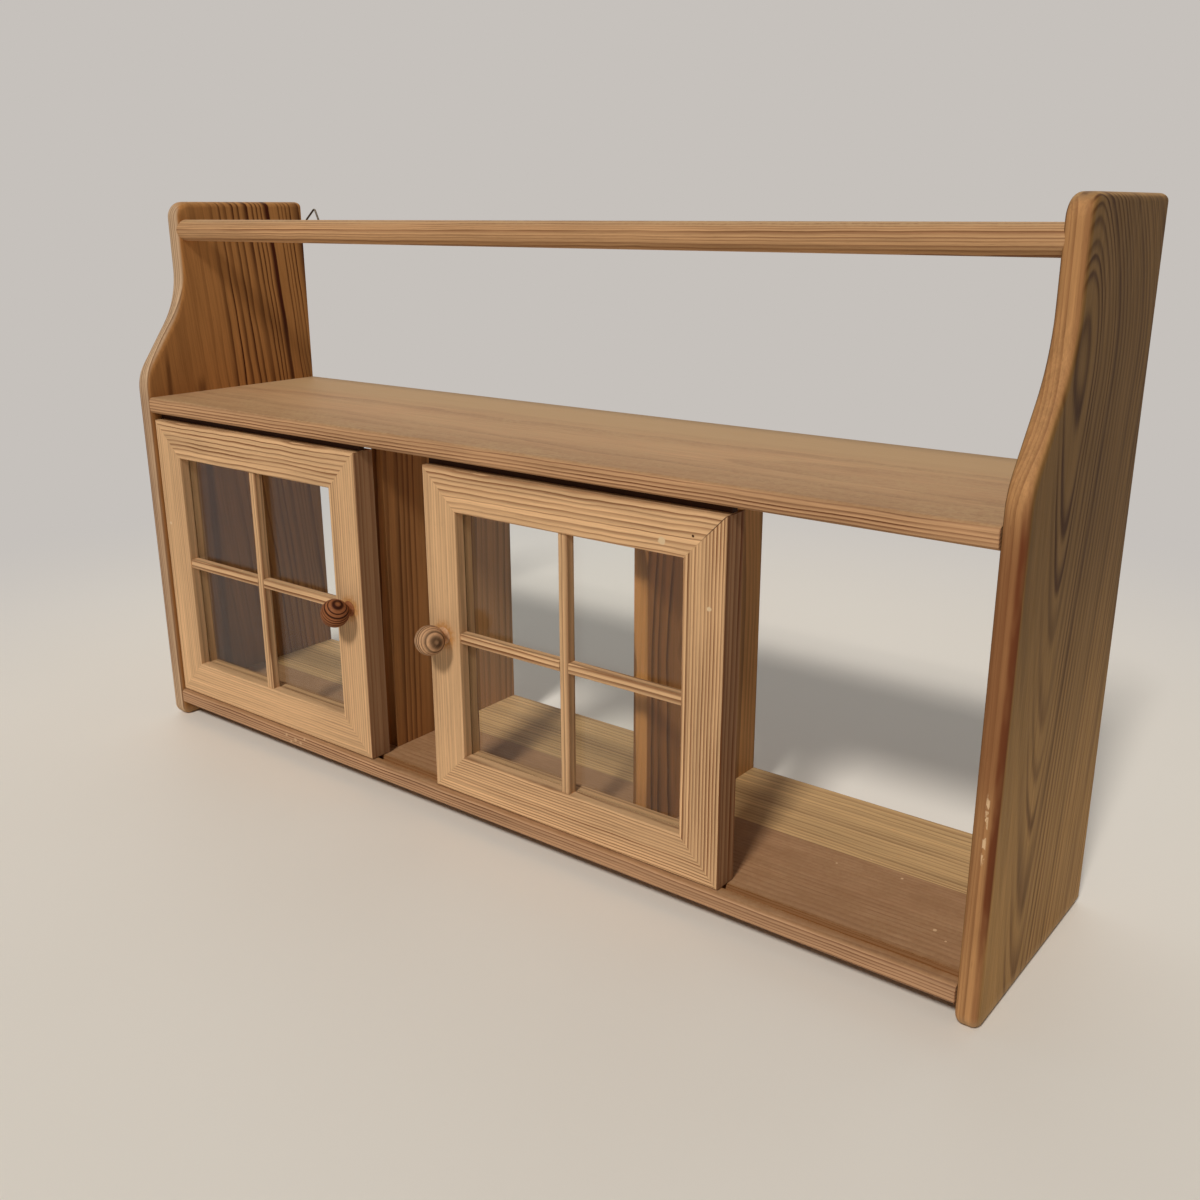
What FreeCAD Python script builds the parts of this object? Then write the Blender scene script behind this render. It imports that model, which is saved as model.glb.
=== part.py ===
import FreeCAD, Part
import math
import os

# Pine wall cabinet: two curved gables, two shelves, two dividers and a dowel rail,
# with two glazed doors that slide in one pair of grooves. Millimetres, +Z up,
# front towards -Y. The origin is below the middle of the whole object, on the surface it stands on.

V = FreeCAD.Vector
X_DIR = V(1, 0, 0)
Y_DIR = V(0, 1, 0)
Z_DIR = V(0, 0, 1)

# Tolerance for telling edges apart by their place
tiny = 0.001

# Carcass boards
width = 800.0
depth = 185.0
gable_t = 15.0
shelf_t = 13.5
divider_t = 12.0
foot_h = 13.5
bay_h = 264.0
upper_h = 165.5
shelf_set_back = 1.0
divider_set_back = 36.0

# Curve of the gables' front edge
neck_set_back = 47.0
shoulder_rise = 5.5
shoulder_r = 40.0
neck_r = 80.0
neck_slope = 36.0
top_front_r = 14.0
top_back_r = 4.0
foot_r = 10.0
gable_round = 5.0
shelf_round = 3.5
divider_round = 1.0

# Dowel rail
rail_d = 18.0
rail_drop = 24.0
rail_behind_neck = 10.0
rail_seat = 9.0

# Hidden dowels that hold the boards together
dowel_sides = 8
glue_gap = 0.05
dowel_end_gap = 1.0
shelf_dowel_d = 8.0
shelf_dowel_in_gable = 10.0
shelf_dowel_in_shelf = 20.0
shelf_dowel_first = 40.0
shelf_dowel_pitch = 55.0
shelf_dowel_rows = 3
divider_dowel_d = 6.0
divider_dowel_in_shelf = 4.0
divider_dowel_in_divider = 16.0
divider_dowel_inset = 25.0

# Grooves that the doors run in
groove_w = 6.5
lower_groove_d = 4.5
upper_groove_d = 8.0

# Doors
door_w = 263.0
door_t = 20.0
door_set_back = 4.0
door_gap_below = 0.8
door_gap_above = 6.2
door_side_gap = 0.5
doors_apart = 75.5
frame_w = 31.5
lip_t = 9.0
rebate_w = 8.0
frame_outer_round = 1.5
frame_inner_round = 1.0
bar_w = 8.0
bar_set_back = 1.5
bar_seat = 5.0
bar_round = 1.2
glass_t = 3.0
glass_edge_gap = 0.5
bead_w = 7.5
tongue_t = 3.0
tongue_l = 26.0
tongue_w = 14.0
tongue_set_back = 4.5

# Guides of a door: a runner along its top edge and two pins in its bottom edge
runner_t = 5.5
runner_inset = 0.5
runner_engage = 3.0
pin_d = 5.5
pin_sides = 12
pin_inset = 45.0
pin_in_rail = 14.0
pin_lift = 0.3
pin_chamfer = 0.5

# Turned knobs
knob_d = 23.0
knob_sides = 24
knob_rows = 8
knob_reach = 26.5
knob_neck_d = 10.0
knob_foot_d = 13.0
knob_foot_h = 1.5
knob_spigot_d = 8.0
knob_spigot_l = 14.0

# Wall hangers: a level strap with an eye rolled on its top edge, a triangular wire ring and one screw
hanger_lean = 13.2
hanger_drop = 29.0
hanger_in = 9.0
strap_w = 11.0
strap_t = 0.8
strap_end = 6.0
eye_in = 20.9
eye_up = 8.2
eye_l = 10.0
eye_gap = 0.08
wire_d = 1.8
wire_sides = 8
bend_steps = 6
ring_w = 24.0
ring_h = 15.2
ring_bend_r = 1.7
screw_d = 3.0
screw_sides = 16
screw_l = 16.0
screw_gap = 0.1
screw_head_d = 6.2
screw_head_h = 1.9

# Levels and places that follow from those sizes
inner_half = width / 2 - gable_t
lower_shelf_z = foot_h
bay_floor_z = lower_shelf_z + shelf_t
bay_ceiling_z = bay_floor_z + bay_h
upper_shelf_z = bay_ceiling_z
ledge_z = upper_shelf_z + shelf_t
height = ledge_z + upper_h
wire_r = wire_d / 2
eye_r = wire_r + eye_gap + strap_t

# The foremost point is a knob's and the rearmost a hanger eye's, and the origin lies between them.
gable_front = -(depth + 2 * eye_r + door_set_back - knob_reach) / 2
gable_back = gable_front + depth
shelf_front = gable_front + shelf_set_back
divider_front = gable_front + divider_set_back
door_front = gable_front + door_set_back
door_back = door_front + door_t
door_mid = door_front + door_t / 2
lip_back = door_front + lip_t
glass_back = lip_back + glass_t
bar_front = door_front + bar_set_back
door_bottom = bay_floor_z + door_gap_below
door_top = bay_ceiling_z - door_gap_above
door_h = door_top - door_bottom
bay_w = (2 * inner_half - 2 * divider_t) / 3
left_door_x = -inner_half + door_side_gap
right_door_x = left_door_x + door_w + doors_apart
rail_y = gable_front + neck_set_back + rail_behind_neck
rail_z = height - rail_drop
hanger_z = height - hanger_drop
eye_y = gable_back + eye_r


def box(x0, x1, y0, y1, z0, z1):
    """Box between two corners."""
    return Part.makeBox(x1 - x0, y1 - y0, z1 - z0, V(x0, y0, z0))


def rod(diameter, start, direction, length):
    """Round rod from a start point."""
    return Part.makeCylinder(diameter / 2, length, start, direction)


def line(a, b):
    """Straight edge."""
    return Part.LineSegment(a, b).toShape()


def arc(a, middle, b):
    """Arc edge through three points."""
    return Part.Arc(a, middle, b).toShape()


def polygon_prism(points, direction):
    """Prism on a closed polygon."""
    wire = Part.makePolygon(points + points[:1])
    return Part.Face(wire).extrude(direction)


def facet_solid(loops, closed):
    """Solid with flat facets between loops of points, either capped at both ends or closed into a ring."""
    count = len(loops[0])
    following = loops[1:] + loops[:1] if closed else loops[1:]
    faces = []
    for near, far in zip(loops, following):
        for i in range(count):
            j = (i + 1) % count
            faces.append(Part.Face(Part.makePolygon([near[i], near[j], far[j], far[i], near[i]])))
    if not closed:
        for loop in (loops[0], loops[-1]):
            faces.append(Part.Face(Part.makePolygon(loop + loop[:1])))
    solid = Part.Solid(Part.Shell(faces))
    if solid.Volume < 0:
        solid.reverse()
    return solid


def turned(profile, sides, start, axis):
    """Turned piece from pairs of radius and distance along the axis, with flat facets round it."""
    first = axis.cross(Z_DIR if abs(axis.z) < 0.5 else X_DIR).normalize()
    second = axis.cross(first)
    loops = []
    for radius, distance in profile:
        centre = start + axis * distance
        angles = [2 * math.pi * i / sides for i in range(sides)]
        loops.append([centre + (first * math.cos(a) + second * math.sin(a)) * radius for a in angles])
    return facet_solid(loops, False)


def peg(diameter, sides, start, axis, length):
    """Straight peg with flat facets round it."""
    return turned([(diameter / 2, 0), (diameter / 2, length)], sides, start, axis)


def save(name, solids):
    """Write one node, either a single solid or a group of separate ones."""
    shape = solids[0] if len(solids) == 1 else Part.makeCompound(solids)
    shape.exportStep("parts/" + name + ".step")


def gable_outline(x):
    """Closed outline of a gable in the plane at x, with a square top back corner."""
    turn = math.radians(neck_slope)
    half = turn / 2

    def at(y, z):
        return V(x, gable_front + y, z)

    def on_shoulder(a):
        y = shoulder_r * (1 - math.cos(a))
        return at(y, ledge_z + shoulder_rise + shoulder_r * math.sin(a))

    rise = shoulder_r * math.sin(turn) + neck_r * math.sin(turn)
    run = neck_set_back - (shoulder_r + neck_r) * (1 - math.cos(turn))
    neck_z = ledge_z + shoulder_rise + rise + run / math.tan(turn)

    def on_neck(a):
        return at(neck_set_back - neck_r * (1 - math.cos(a)), neck_z - neck_r * math.sin(a))

    def on_top_corner(a):
        y = neck_set_back + top_front_r * (1 - math.cos(a))
        return at(y, height - top_front_r * (1 - math.sin(a)))

    def on_foot(a):
        return at(foot_r * (1 - math.cos(a)), foot_r * (1 - math.sin(a)))

    right_angle = math.pi / 2
    edges = [
        line(at(depth, 0), on_foot(right_angle)),
        arc(on_foot(right_angle), on_foot(right_angle / 2), on_foot(0)),
        line(on_foot(0), on_shoulder(0)),
        arc(on_shoulder(0), on_shoulder(half), on_shoulder(turn)),
        line(on_shoulder(turn), on_neck(turn)),
        arc(on_neck(turn), on_neck(half), on_neck(0)),
        line(on_neck(0), on_top_corner(0)),
        arc(on_top_corner(0), on_top_corner(right_angle / 2), on_top_corner(right_angle)),
        line(on_top_corner(right_angle), at(depth, height)),
        line(at(depth, height), at(depth, 0)),
    ]
    return Part.Wire(edges)


def rounded_gable(x0):
    """Gable board with its arrises rounded over, all but the two at the back."""
    board = Part.Face(gable_outline(x0)).extrude(V(gable_t, 0, 0))
    arrises = []
    for edge in board.Edges:
        reach = edge.BoundBox
        along_a_face = reach.XLength < tiny
        on_the_back = reach.YMin > gable_back - tiny
        if along_a_face and not on_the_back:
            arrises.append(edge)
    board = board.makeFillet(gable_round, arrises)
    corner = box(x0, x0 + gable_t, gable_back - top_back_r, gable_back, height - top_back_r, height)
    keep = rod(2 * top_back_r, V(x0, gable_back - top_back_r, height - top_back_r), X_DIR, gable_t)
    return board.cut(corner.cut(keep))


def shelf_dowels(gap, extra):
    """Dowels between the shelves and the gables, or with a gap their holes."""
    length = shelf_dowel_in_gable + shelf_dowel_in_shelf + 2 * extra
    dowels = []
    for z in (lower_shelf_z + shelf_t / 2, upper_shelf_z + shelf_t / 2):
        for row in range(shelf_dowel_rows):
            y = gable_front + shelf_dowel_first + row * shelf_dowel_pitch
            for side in (-1, 1):
                start = V(side * (inner_half + shelf_dowel_in_gable + extra), y, z)
                dowels.append(peg(shelf_dowel_d + 2 * gap, dowel_sides, start, X_DIR * -side, length))
    return dowels


def divider_left_edges():
    """Left faces of the two dividers, which make three equal bays."""
    first = -inner_half + bay_w
    return [first, first + divider_t + bay_w]


def divider_dowels(gap, extra):
    """Dowels between the dividers and the shelves, or with a gap their holes."""
    length = divider_dowel_in_shelf + divider_dowel_in_divider + 2 * extra
    dowels = []
    for x in divider_left_edges():
        for y in (divider_front + divider_dowel_inset, gable_back - divider_dowel_inset):
            middle = x + divider_t / 2
            low = V(middle, y, bay_floor_z - divider_dowel_in_shelf - extra)
            high = V(middle, y, bay_ceiling_z + divider_dowel_in_shelf + extra)
            dowels.append(peg(divider_dowel_d + 2 * gap, dowel_sides, low, Z_DIR, length))
            dowels.append(peg(divider_dowel_d + 2 * gap, dowel_sides, high, -Z_DIR, length))
    return dowels


def hanger_frame(side):
    """Screw place, middle of the eye, direction up the ring and direction inwards along the eye."""
    lean = math.radians(hanger_lean)
    screw = V(side * (width / 2 - hanger_in), gable_back, hanger_z)
    eye = V(screw.x - side * eye_in, eye_y, hanger_z + eye_up)
    up_ring = V(-side * math.sin(lean), 0, math.cos(lean))
    along_eye = V(-side * math.cos(lean), 0, -math.sin(lean))
    return screw, eye, up_ring, along_eye


def screw_hole(screw):
    """Hole for a hanger's screw, through the strap and into the gable."""
    start = screw + Y_DIR * (strap_t + screw_gap)
    return peg(screw_d + 2 * screw_gap, screw_sides, start, -Y_DIR, screw_l + 2 * screw_gap)


def hanger_screw(screw):
    """Round-headed screw that holds a strap."""
    head_r = screw_head_d / 2
    profile = [
        (screw_d / 2, -screw_l),
        (screw_d / 2, 0),
        (head_r, 0),
        (head_r * 0.94, screw_head_h * 0.4),
        (head_r * 0.72, screw_head_h * 0.78),
        (head_r * 0.35, screw_head_h),
    ]
    return turned(profile, screw_sides, screw + Y_DIR * strap_t, Y_DIR)


def make_carcass():
    """Boards, rail and hidden dowels."""
    board_holes = shelf_dowels(glue_gap, dowel_end_gap)
    rail = rod(rail_d, V(-inner_half - rail_seat, rail_y, rail_z), X_DIR, 2 * (inner_half + rail_seat))
    rail_hole_l = inner_half + rail_seat + dowel_end_gap
    rail_hole = rod(rail_d + 2 * glue_gap, V(-rail_hole_l, rail_y, rail_z), X_DIR, 2 * rail_hole_l)
    for name, x0, side in (("left_gable", -width / 2, -1), ("right_gable", inner_half, 1)):
        board = rounded_gable(x0)
        board = board.cut(board_holes + [rail_hole, screw_hole(hanger_frame(side)[0])])
        save(name, [board])
    save("top_rail", [rail])

    groove_y0 = door_mid - groove_w / 2
    groove_y1 = door_mid + groove_w / 2
    lower_groove = box(
        -inner_half, inner_half, groove_y0, groove_y1, bay_floor_z - lower_groove_d, bay_floor_z)
    upper_groove = box(
        -inner_half, inner_half, groove_y0, groove_y1, bay_ceiling_z, bay_ceiling_z + upper_groove_d)
    pegs = divider_dowels(glue_gap, dowel_end_gap)
    for name, z0, groove in (
        ("bottom_shelf", lower_shelf_z, lower_groove),
        ("middle_shelf", upper_shelf_z, upper_groove),
    ):
        board = box(-inner_half, inner_half, shelf_front, gable_back, z0, z0 + shelf_t)
        front_edges = [e for e in board.Edges if e.BoundBox.YMax < shelf_front + tiny]
        board = board.makeFillet(shelf_round, [e for e in front_edges if e.BoundBox.XLength > 1])
        save(name, [board.cut([groove] + board_holes + pegs)])

    for name, x0 in zip(("left_divider", "right_divider"), divider_left_edges()):
        board = box(x0, x0 + divider_t, divider_front, gable_back, bay_floor_z, bay_ceiling_z)
        front_edges = [e for e in board.Edges if e.BoundBox.YMax < divider_front + tiny]
        board = board.makeFillet(divider_round, [e for e in front_edges if e.BoundBox.ZLength > 1])
        save(name, [board.cut(pegs)])
    save("shelf_dowels", shelf_dowels(0, 0))
    save("divider_dowels", divider_dowels(0, 0))


def frame_section():
    """Section of a door's frame: inwards from its outer edge, and back from the front of the door."""
    ro = frame_outer_round
    ri = frame_inner_round
    so = ro * (1 - math.sqrt(0.5))
    si = ri * (1 - math.sqrt(0.5))

    def at(inward, back):
        return V(0, door_front + back, inward)

    edges = [
        arc(at(0, ro), at(so, so), at(ro, 0)),
        line(at(ro, 0), at(frame_w - ri, 0)),
        arc(at(frame_w - ri, 0), at(frame_w - si, si), at(frame_w, ri)),
        line(at(frame_w, ri), at(frame_w, lip_t)),
        line(at(frame_w, lip_t), at(frame_w - rebate_w, lip_t)),
        line(at(frame_w - rebate_w, lip_t), at(frame_w - rebate_w, door_t)),
        line(at(frame_w - rebate_w, door_t), at(0, door_t)),
        line(at(0, door_t), at(0, ro)),
    ]
    return Part.Face(Part.Wire(edges))


def frame_member(length):
    """Mitred frame member that lies along X with its outer edge down, from the origin."""
    bar = frame_section().extrude(V(length, 0, 0))
    ends = [
        V(0, door_front, 0),
        V(length, door_front, 0),
        V(length - frame_w, door_front, frame_w),
        V(frame_w, door_front, frame_w),
    ]
    return bar.common(polygon_prism(ends, V(0, door_t, 0)))


def placed(shape, angle, offset):
    """Copy of a shape turned about Y and then moved."""
    copy = shape.copy()
    copy.rotate(V(0, 0, 0), Y_DIR, angle)
    copy.translate(offset)
    return copy


def door_frame(x0):
    """The four frame members of a door by name, the top one with its runner, before any holes are cut."""
    x1 = x0 + door_w
    rail = frame_member(door_w)
    stile = frame_member(door_h)
    runner = box(
        x0 + runner_inset, x1 - runner_inset,
        door_mid - runner_t / 2, door_mid + runner_t / 2,
        door_top, bay_ceiling_z + runner_engage)
    return {
        "bottom_rail": placed(rail, 0, V(x0, 0, door_bottom)),
        "top_rail": placed(rail, 180, V(x1, 0, door_top)).fuse(runner),
        "left_stile": placed(stile, 90, V(x0, 0, door_top)),
        "right_stile": placed(stile, -90, V(x1, 0, door_bottom)),
    }


def mitre_tongues(x0, gap):
    """Loose tongues across the four mitres, or with a gap their slots."""
    tongues = []
    half = frame_w / 2
    front = door_front + tongue_set_back
    for x, sx in ((x0, 1), (x0 + door_w, -1)):
        for z, sz in ((door_bottom, 1), (door_top, -1)):
            plate = box(
                -tongue_l / 2 - gap, tongue_l / 2 + gap,
                front - gap, front + tongue_t + gap,
                -tongue_w / 2 - gap, tongue_w / 2 + gap)
            tongues.append(placed(plate, -45 * sx * sz, V(x + sx * half, 0, z + sz * half)))
    return tongues


def guide_pins(x0, gap):
    """Two guide pins in the door's bottom edge, or with a gap their holes."""
    floor_z = bay_floor_z - lower_groove_d + pin_lift
    length = door_bottom + pin_in_rail - floor_z
    radius = pin_d / 2 + gap
    end = [(radius, 0)] if gap else [(radius - pin_chamfer, 0), (radius, pin_chamfer)]
    profile = end + [(radius, length)]
    places = (x0 + pin_inset, x0 + door_w - pin_inset)
    return [turned(profile, pin_sides, V(x, door_mid, floor_z), Z_DIR) for x in places]


def glazing_bars(x0):
    """Upright and cross bar, halved into each other where they cross."""
    x_mid = x0 + door_w / 2
    z_mid = (door_bottom + door_top) / 2
    half = bar_w / 2
    lap_y = (bar_front + lip_back) / 2
    end = frame_w - bar_seat
    upright = box(x_mid - half, x_mid + half, bar_front, lip_back, door_bottom + end, door_top - end)
    cross = box(x0 + end, x0 + door_w - end, bar_front, lip_back, z_mid - half, z_mid + half)

    def softened(bar):
        long_edges = [e for e in bar.Edges if e.BoundBox.YMax < bar_front + tiny and e.Length > 2 * bar_w]
        return bar.makeFillet(bar_round, long_edges)

    behind_lap = box(x_mid - half, x_mid + half, lap_y, lip_back, z_mid - half, z_mid + half)
    before_lap = box(x_mid - half, x_mid + half, bar_front, lap_y, z_mid - half, z_mid + half)
    seats = [upright, cross]
    return softened(upright).cut(behind_lap), softened(cross).cut(before_lap), seats


def glazing_beads(x0):
    """Four beads that hold the pane in its rebate."""
    left = x0 + frame_w - rebate_w
    right = x0 + door_w - frame_w + rebate_w
    low = door_bottom + frame_w - rebate_w
    high = door_top - frame_w + rebate_w
    return [
        box(left, right, glass_back, door_back, low, low + bead_w),
        box(left, right, glass_back, door_back, high - bead_w, high),
        box(left, left + bead_w, glass_back, door_back, low + bead_w, high - bead_w),
        box(right - bead_w, right, glass_back, door_back, low + bead_w, high - bead_w),
    ]


def knob(x):
    """Turned ball knob with its glued spigot, on the middle of a stile."""
    ball_r = knob_d / 2
    neck_r = knob_neck_d / 2
    foot_r_here = knob_foot_d / 2
    spigot_r = knob_spigot_d / 2
    centre = knob_reach - ball_r
    profile = [(spigot_r, -knob_spigot_l), (spigot_r, 0), (foot_r_here, 0), (neck_r, knob_foot_h)]
    first = -math.acos(neck_r / ball_r)
    last = math.radians(82)
    for row in range(knob_rows + 1):
        a = first + (last - first) * row / knob_rows
        profile.append((ball_r * math.cos(a), centre + ball_r * math.sin(a)))
    profile[-1] = (profile[-1][0], knob_reach)
    return turned(profile, knob_sides, V(x, door_front, (door_bottom + door_top) / 2), -Y_DIR)


def make_door(side, x0, knob_x):
    """One sliding door: frame, bars, pane, beads, knob, tongues and guide pins."""
    upright, cross, seats = glazing_bars(x0)
    spigot_hole = peg(
        knob_spigot_d + 2 * glue_gap, knob_sides,
        V(knob_x, door_front, (door_bottom + door_top) / 2),
        Y_DIR, knob_spigot_l + dowel_end_gap)
    cuts = mitre_tongues(x0, glue_gap) + guide_pins(x0, glue_gap) + seats + [spigot_hole]
    for name, member in door_frame(x0).items():
        save(side + "_door_" + name, [member.cut(cuts)])
    save(side + "_door_upright_bar", [upright])
    save(side + "_door_cross_bar", [cross])

    edge = frame_w - rebate_w + glass_edge_gap
    pane = box(x0 + edge, x0 + door_w - edge, lip_back, glass_back, door_bottom + edge, door_top - edge)
    save(side + "_door_pane", [pane])
    save(side + "_door_beads", glazing_beads(x0))
    save(side + "_door_knob", [knob(knob_x)])
    save(side + "_door_mitre_tongues", mitre_tongues(x0, 0))
    save(side + "_door_guide_pins", guide_pins(x0, 0))


def wire_ring(base, up_ring, along_eye):
    """Triangular wire ring with rounded corners, its base through the strap's eye."""
    half = along_eye * (ring_w / 2)
    corners = [base - half, base + half, base + up_ring * ring_h]
    normal = along_eye.cross(up_ring)
    angles = [2 * math.pi * i / wire_sides for i in range(wire_sides)]
    loops = []
    for i in range(3):
        here = corners[i]
        back = (corners[i - 1] - here).normalize()
        on = (corners[(i + 1) % 3] - here).normalize()
        half_angle = back.getAngle(on) / 2
        outward = (back + on).normalize() * -1
        sideways = normal.cross(outward)
        centre = here - outward * (ring_bend_r / math.sin(half_angle))
        swing = math.pi / 2 - half_angle
        for step in range(bend_steps + 1):
            a = swing * (2 * step / bend_steps - 1)
            radial = outward * math.cos(a) + sideways * math.sin(a)
            ring_points = []
            for b in angles:
                reach = radial * (ring_bend_r + wire_r * math.cos(b))
                ring_points.append(centre + reach + normal * (wire_r * math.sin(b)))
            loops.append(ring_points)
    return facet_solid(loops, True)


def make_hanger(name, side):
    """Strap, ring and screw at the top of one gable's back edge."""
    screw, eye, up_ring, along_eye = hanger_frame(side)
    half = along_eye * (eye_l / 2)
    outer_x = screw.x + side * strap_end
    low_z = screw.z - strap_w / 2
    eye_start = eye - half
    eye_end = eye + half
    corners = [
        V(outer_x, gable_back, low_z),
        V(outer_x, gable_back, low_z + strap_w),
        V(eye_start.x, gable_back, eye_start.z),
        V(eye_end.x, gable_back, eye_end.z),
        V(eye_end.x, gable_back, low_z),
    ]
    plate = polygon_prism(corners, Y_DIR * strap_t)
    roll = rod(2 * eye_r, eye_start, along_eye, eye_l)
    bore = rod(wire_d + 2 * eye_gap, eye - half * 2, along_eye, 2 * eye_l)
    save(name + "_hanger_strap", [plate.fuse(roll).cut([bore, screw_hole(screw)]).removeSplitter()])
    save(name + "_hanger_ring", [wire_ring(eye, up_ring, along_eye)])
    save(name + "_hanger_screw", [hanger_screw(screw)])


os.makedirs("parts", exist_ok=True)
make_carcass()
make_door("left", left_door_x, left_door_x + door_w - frame_w / 2)
make_door("right", right_door_x, right_door_x + frame_w / 2)
make_hanger("left", -1)
make_hanger("right", 1)

half_size = (gable_back + 2 * eye_r - (door_front - knob_reach)) / 2
print("outside", width, 2 * half_size, height)
print("left door from", left_door_x, "right door from", right_door_x, "size", door_w, door_h)
print("free between doors", doors_apart, "right of right door", inner_half - right_door_x - door_w)
for word, hand in (("left", -1), ("right", 1)):
    seat, pivot, upwards, axis = hanger_frame(hand)
    print(word, "ring pivot", pivot, "axis", axis, "screw at", seat)
print("gable front and back", gable_front, gable_back, "door", door_front, door_back)
print("bay floor, ceiling, ledge", bay_floor_z, bay_ceiling_z, ledge_z)
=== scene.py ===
# %% [markdown]
# # A pine wall cabinet with two sliding glass doors
# The cabinet is plain joinery: two curved gables, two shelves, two dividers and a dowel rail, with two
# mitred glass doors that slide in one pair of grooves. The solids come packed from the CAD model, so the
# first step is to load them.

# %% Load the frame
import math
import bmesh
import bpy
from mathutils import Matrix, Vector


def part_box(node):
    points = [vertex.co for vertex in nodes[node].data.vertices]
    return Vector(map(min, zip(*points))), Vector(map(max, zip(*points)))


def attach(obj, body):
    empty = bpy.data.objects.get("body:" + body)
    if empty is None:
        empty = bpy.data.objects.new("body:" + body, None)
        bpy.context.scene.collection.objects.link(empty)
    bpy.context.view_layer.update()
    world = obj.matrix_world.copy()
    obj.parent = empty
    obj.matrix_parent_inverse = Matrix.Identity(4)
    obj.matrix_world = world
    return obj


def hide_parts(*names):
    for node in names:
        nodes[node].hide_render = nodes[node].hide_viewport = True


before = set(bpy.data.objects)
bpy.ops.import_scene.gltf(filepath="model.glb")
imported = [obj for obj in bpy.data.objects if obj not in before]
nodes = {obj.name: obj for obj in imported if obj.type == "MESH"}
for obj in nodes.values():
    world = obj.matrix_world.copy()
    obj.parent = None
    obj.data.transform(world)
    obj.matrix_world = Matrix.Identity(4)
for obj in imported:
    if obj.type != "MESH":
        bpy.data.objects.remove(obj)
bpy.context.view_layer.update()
MM = 0.001

# %% [markdown]
# ## The camera
# The photograph was taken by hand from the right front, a little above the shelf. A camera can be placed
# by eye, but here its place, its turn and its lens were solved from the corners of the boards, so that
# the edges of the model fall on the edges in the picture.

# %% Place the camera
YAW = math.radians(38.007)
PITCH = math.radians(17.629)
ROLL = math.radians(-0.229)
LENS_MM = 36.830
SENSOR_MM = 36
NEAR_CLIP = 0.02
EYE = Vector((0.60143, -0.69610, 0.46178))

ahead = Vector((-math.sin(YAW) * math.cos(PITCH), math.cos(YAW) * math.cos(PITCH), -math.sin(PITCH)))
level_right = Vector((math.cos(YAW), math.sin(YAW), 0))
level_up = level_right.cross(ahead)
right = level_right * math.cos(ROLL) + level_up * math.sin(ROLL)
up = level_up * math.cos(ROLL) - level_right * math.sin(ROLL)

lens = bpy.data.cameras.new("photo_camera")
lens.lens = LENS_MM
lens.sensor_width = SENSOR_MM
lens.clip_start = NEAR_CLIP
camera = bpy.data.objects.new("photo_camera", lens)
camera.matrix_world = Matrix((right, up, -ahead)).transposed().to_4x4()
camera.location = EYE
bpy.context.scene.collection.objects.link(camera)
bpy.context.scene.camera = camera
bpy.context.scene.view_settings.view_transform = "Standard"
print("camera at", tuple(round(v, 3) for v in EYE), "with a", LENS_MM, "mm lens")

# %% [markdown]
# ## Small helpers for node trees
# Every finish below is a network of nodes. Written out in full, each node takes three or four lines, so
# these helpers add a node, set its options and join its inputs in one call.

# %% Node helpers
def fill_inputs(tree, node, inputs):
    """Set or join the inputs of a node by name or number."""
    for key, value in inputs.items():
        if isinstance(value, bpy.types.NodeSocket):
            tree.links.new(value, node.inputs[key])
        else:
            node.inputs[key].default_value = value


def add_node(tree, kind, inputs=None, **options):
    """Add a node, set its options and fill its inputs."""
    node = tree.nodes.new(kind)
    for key, value in options.items():
        setattr(node, key, value)
    fill_inputs(tree, node, inputs or {})
    return node


def calc(tree, operation, a, b=0.0):
    """One sum on numbers."""
    return add_node(tree, "ShaderNodeMath", {0: a, 1: b}, operation=operation).outputs[0]


def product(tree, first, *others):
    """Numbers multiplied together."""
    for other in others:
        first = calc(tree, "MULTIPLY", first, other)
    return first


def vector_calc(tree, operation, a, b):
    """One sum on vectors, part by part."""
    return add_node(tree, "ShaderNodeVectorMath", {0: a, 1: b}, operation=operation).outputs[0]


print("node helpers ready")

# %% Steps, mixes, noise and places
def ramp_up(tree, value, low, high, start=0.0, end=1.0):
    """Smooth step of a value from one level to another."""
    inputs = {"Value": value, "From Min": low, "From Max": high, "To Min": start, "To Max": end}
    return add_node(tree, "ShaderNodeMapRange", inputs, interpolation_type="SMOOTHSTEP").outputs[0]


def mix_colours(tree, share, a, b):
    """Two colours mixed by a share."""
    return add_node(tree, "ShaderNodeMix", {0: share, 6: a, 7: b}, data_type="RGBA").outputs[2]


def noise(tree, place, stretch, detail=2.0, rough=0.5):
    """Noise over a place that is stretched part by part."""
    spread = vector_calc(tree, "MULTIPLY", place, stretch)
    inputs = {"Vector": spread, "Scale": 1.0, "Detail": detail, "Roughness": rough}
    return add_node(tree, "ShaderNodeTexNoise", inputs, noise_dimensions="3D").outputs[0]


def about_zero(tree, place, stretch, detail=2.0, rough=0.5):
    """The same noise, moved down so that it swings about zero."""
    return calc(tree, "SUBTRACT", noise(tree, place, stretch, detail, rough), 0.5)


def split(tree, vector):
    """The three parts of a vector."""
    return add_node(tree, "ShaderNodeSeparateXYZ", {0: vector}).outputs


def here(tree):
    """Place on the object in the cabinet's own frame, in metres."""
    return tree.nodes.new("ShaderNodeTexCoord").outputs["Object"]


def normal_parts(tree):
    """The three parts of the surface normal."""
    return split(tree, tree.nodes.new("ShaderNodeNewGeometry").outputs["Normal"])


print("value helpers ready")

# %% Groups and colours
def new_group(name, inputs, outputs):
    """Empty shader node group with named sockets."""
    group = bpy.data.node_groups.new(name, "ShaderNodeTree")
    for direction, sockets in (("INPUT", inputs), ("OUTPUT", outputs)):
        for label, kind in sockets:
            group.interface.new_socket(name=label, in_out=direction, socket_type="NodeSocket" + kind)
    start = group.nodes.new("NodeGroupInput")
    end = group.nodes.new("NodeGroupOutput")
    return group, start.outputs, end.inputs


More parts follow.
